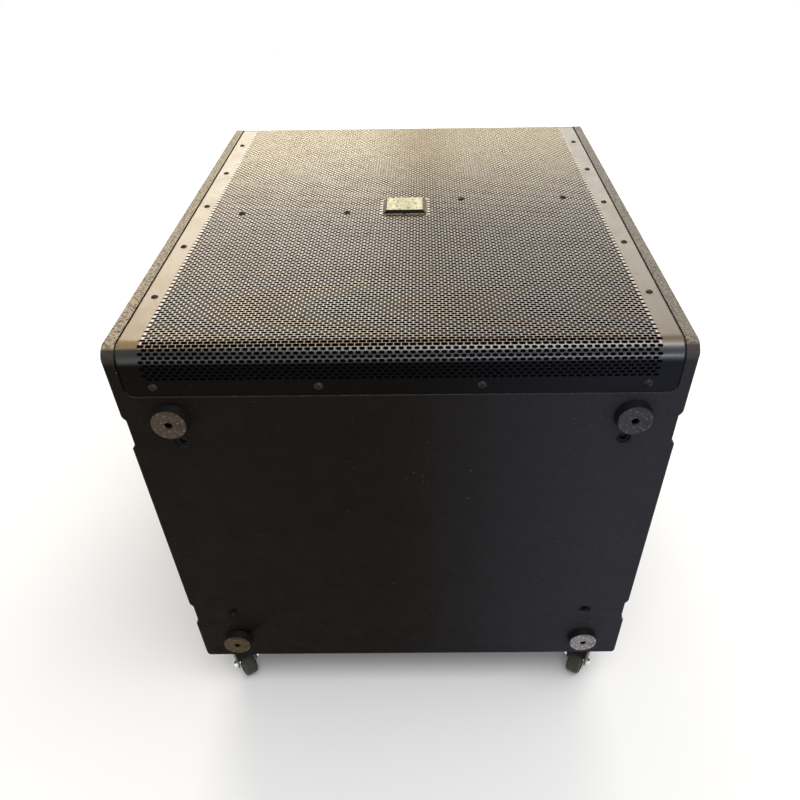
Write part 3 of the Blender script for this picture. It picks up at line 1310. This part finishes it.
def speaker_cable():
    """The lead inside the cabinet, from the amplifier's board to the woofer's terminals."""
    angle, circle, thick, steps = math.radians(-67.5), 0.168, 0.0068, 6
    start = Vector((-0.095, plan("amp_plate")[0][1] + 0.040, Z_REAR + 0.024 + GAP))
    end_x, end_y = WOOFER_X + circle * math.cos(angle), WOOFER_Y + circle * math.sin(angle)
    end = Vector((end_x, end_y, Z_BAFFLE - 0.092 - GAP))
    points = [
        start,
        start + Vector((0, 0, 0.012)),
        start + Vector((0, 0, 0.024)),
        start + Vector((0.002, 0, 0.040)),
        Vector((0.010, end.y - 0.020, Z_REAR + 0.130)),
        Vector((0.060, end.y - 0.050, Z_REAR + 0.230)),
        end - Vector((0, 0, 0.034)),
        end - Vector((0, 0, 0.022)),
        end - Vector((0, 0, 0.011)),
        end,
    ]
    knots = [points[0], *points, points[-1]]
    route = []
    for p0, p1, p2, p3 in zip(knots, knots[1:], knots[2:], knots[3:]):
        for t in [step / steps for step in range(steps)]:
            bend = (2 * p0 - 5 * p1 + 4 * p2 - p3) * t**2 + (3 * p1 - p0 - 3 * p2 + p3) * t**3
            route.append(0.5 * (2 * p1 + (p2 - p0) * t + bend))
    route.append(points[-1])
    curve = bpy.data.curves.new("speaker_lead", "CURVE")
    curve.dimensions = "3D"
    curve.bevel_depth = thick / 2
    curve.bevel_resolution = 4
    curve.use_fill_caps = True
    spline = curve.splines.new("POLY")
    spline.points.add(len(route) - 1)
    for point, place in zip(spline.points, route):
        point.co = (*place, 1)
    curve.materials.append(LOOKS["cable"])
    thing = show("speaker_lead", curve)
    finish(thing, "speaker_lead", replaces=["speaker_cable"])
    length = sum((b - a).length for a, b in zip(route, route[1:]))
    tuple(route[0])


CARRIED = {
    "front_baffle": "paint",
    "grille_rail_left": "paint",
    "grille_rail_right": "paint",
    "grille_strap": "black_steel",
    "window_brace": "plywood",
    "port_tube_left": "plastic",
    "port_tube_right": "plastic",
    "woofer_basket": "cast",
    "woofer_cone": "cone",
    "woofer_dust_cap": "cone",
    "woofer_voice_coil": "copper",
    "woofer_top_plate": "zinc",
    "woofer_magnet": "ferrite",
    "woofer_back_plate": "zinc",
    "amp_board": "board",
    "amp_transformer": "copper",
    "level_pot": "zinc",
}


def carried_nodes():
    """CAD nodes whose shape is kept, with better materials."""
    for name, key in CARRIED.items():
        for slot in frame["nodes"][name].material_slots:
            slot.material = LOOKS[key]


# Floor, light and camera ---------------------------------------------------------------------------

FLOOR_HALF = 3.6
WHITE_FROM, WHITE_TO = 2.2, 3.5
CAMERA_PLACE = (0.0260, Y_LOW - 0.5762, Z_REAR + 0.9477)
CAMERA_PITCH, CAMERA_YAW, CAMERA_ROLL = 0.6763, 0.0084, -0.0148
CAMERA_LENS, CAMERA_SHIFT = 31.44, -0.02625


def pale_floor():
    """A pale floor that runs out into white."""
    shape = bmesh.new()
    bmesh.ops.create_grid(shape, x_segments=1, y_segments=1, size=FLOOR_HALF)
    s = Surface("pale_floor", (0.80, 0.80, 0.80), 0.85, specular=0.1)
    s.tint(s.patches(0.3, 0.7, 1.2, 2), (0.82, 0.82, 0.82))
    distance = s.node("ShaderNodeVectorMath", {0: s.coords}, operation="LENGTH").outputs["Value"]
    white = s.ramp(distance, WHITE_FROM, WHITE_TO)
    s.tint(white, (0.0, 0.0, 0.0))
    s.set(s.shader, {"Emission Color": (1.0, 1.0, 1.0, 1.0), "Emission Strength": white})
    floor = make(shape, s.done())
    floor.name = "floor"


def area_light(name, place, target, size, power, colour):
    data = bpy.data.lights.new(name, "AREA")
    data.shape = "RECTANGLE"
    data.size, data.size_y = size
    data.energy, data.color = power, colour
    lamp = show(name, data)
    lamp.location = place
    lamp.rotation_euler = (Vector(target) - Vector(place)).to_track_quat("-Z", "Y").to_euler()
    lamp.visible_camera = False


def lights():
    """Two soft lights beyond the grille's far edge, one overhead and a weak cool one low in front."""
    front = (0, 0, Z_FRONT)
    area_light("far_left", (-1.5, 4.4, 3.0), front, (3.0, 2.4), 165, (1.0, 0.94, 0.82))
    area_light("far_right", (1.5, 4.4, 3.0), front, (3.0, 2.4), 100, (1.0, 0.96, 0.88))
    area_light("overhead", (0.7, -1.0, 3.4), (0, -0.4, 0), (3.2, 1.6), 85, (1.0, 0.985, 0.96))
    edge = (0.1, Y_LOW, Z_FRONT)
    area_light("cool_window", (0.9, -3.6, 1.05), edge, (2.4, 0.40), 20, (0.70, 0.78, 1.0))


def sky():
    """White at the horizon and below it, and greyer towards the zenith."""
    world = bpy.data.worlds.new("studio")
    world.use_nodes = True
    nodes, links = world.node_tree.nodes, world.node_tree.links
    coords = nodes.new("ShaderNodeTexCoord")
    split = nodes.new("ShaderNodeSeparateXYZ")
    fade = nodes.new("ShaderNodeMapRange")
    links.new(coords.outputs["Generated"], split.inputs[0])
    links.new(split.outputs["Z"], fade.inputs["Value"])
    for key, value in {"From Min": 0.02, "From Max": 0.6, "To Min": 1.0, "To Max": 0.42}.items():
        fade.inputs[key].default_value = value
    links.new(fade.outputs[0], nodes["Background"].inputs["Strength"])
    nodes["Background"].inputs["Color"].default_value = (1.0, 1.0, 1.0, 1)
    bpy.context.scene.world = world
    bpy.context.scene.view_settings.view_transform = "Standard"


def camera():
    """The view from above the feet, steeply down on to the grille."""
    pitch, roll = CAMERA_PITCH, CAMERA_ROLL
    turn = Matrix.Rotation(CAMERA_YAW, 3, "Z")
    forward = turn @ Vector((0, math.cos(pitch), -math.sin(pitch)))
    right = turn @ Vector((1, 0, 0))
    up = turn @ Vector((0, math.sin(pitch), math.cos(pitch)))
    across = math.cos(roll) * right + math.sin(roll) * up
    upward = math.cos(roll) * up - math.sin(roll) * right
    data = bpy.data.cameras.new("camera")
    data.sensor_width = 36
    data.lens = CAMERA_LENS
    data.shift_x = CAMERA_SHIFT
    axes = Matrix((across, upward, -forward)).transposed().to_4x4()
    bpy.context.scene.camera = show("camera", data, Matrix.Translation(CAMERA_PLACE) @ axes)


def build():
    camera()
    outside = shell()
    for side, sign in SIDES:
        side_board(side, sign, outside)
    flat_boards(outside)
    bpy.data.objects.remove(outside, do_unlink=True)
    inserts()
    grille()
    foam()
    grille_screws()
    badge()
    feet()
    for side, sign in SIDES:
        handle(side, sign)
    pole_socket()
    for place in ("lower_left", "lower_right", "upper_left", "upper_right"):
        caster(place)
    amplifier()
    woofer()
    speaker_cable()
    carried_nodes()
    pale_floor()
    lights()
    sky()


build()
bpy.context.view_layer.update()
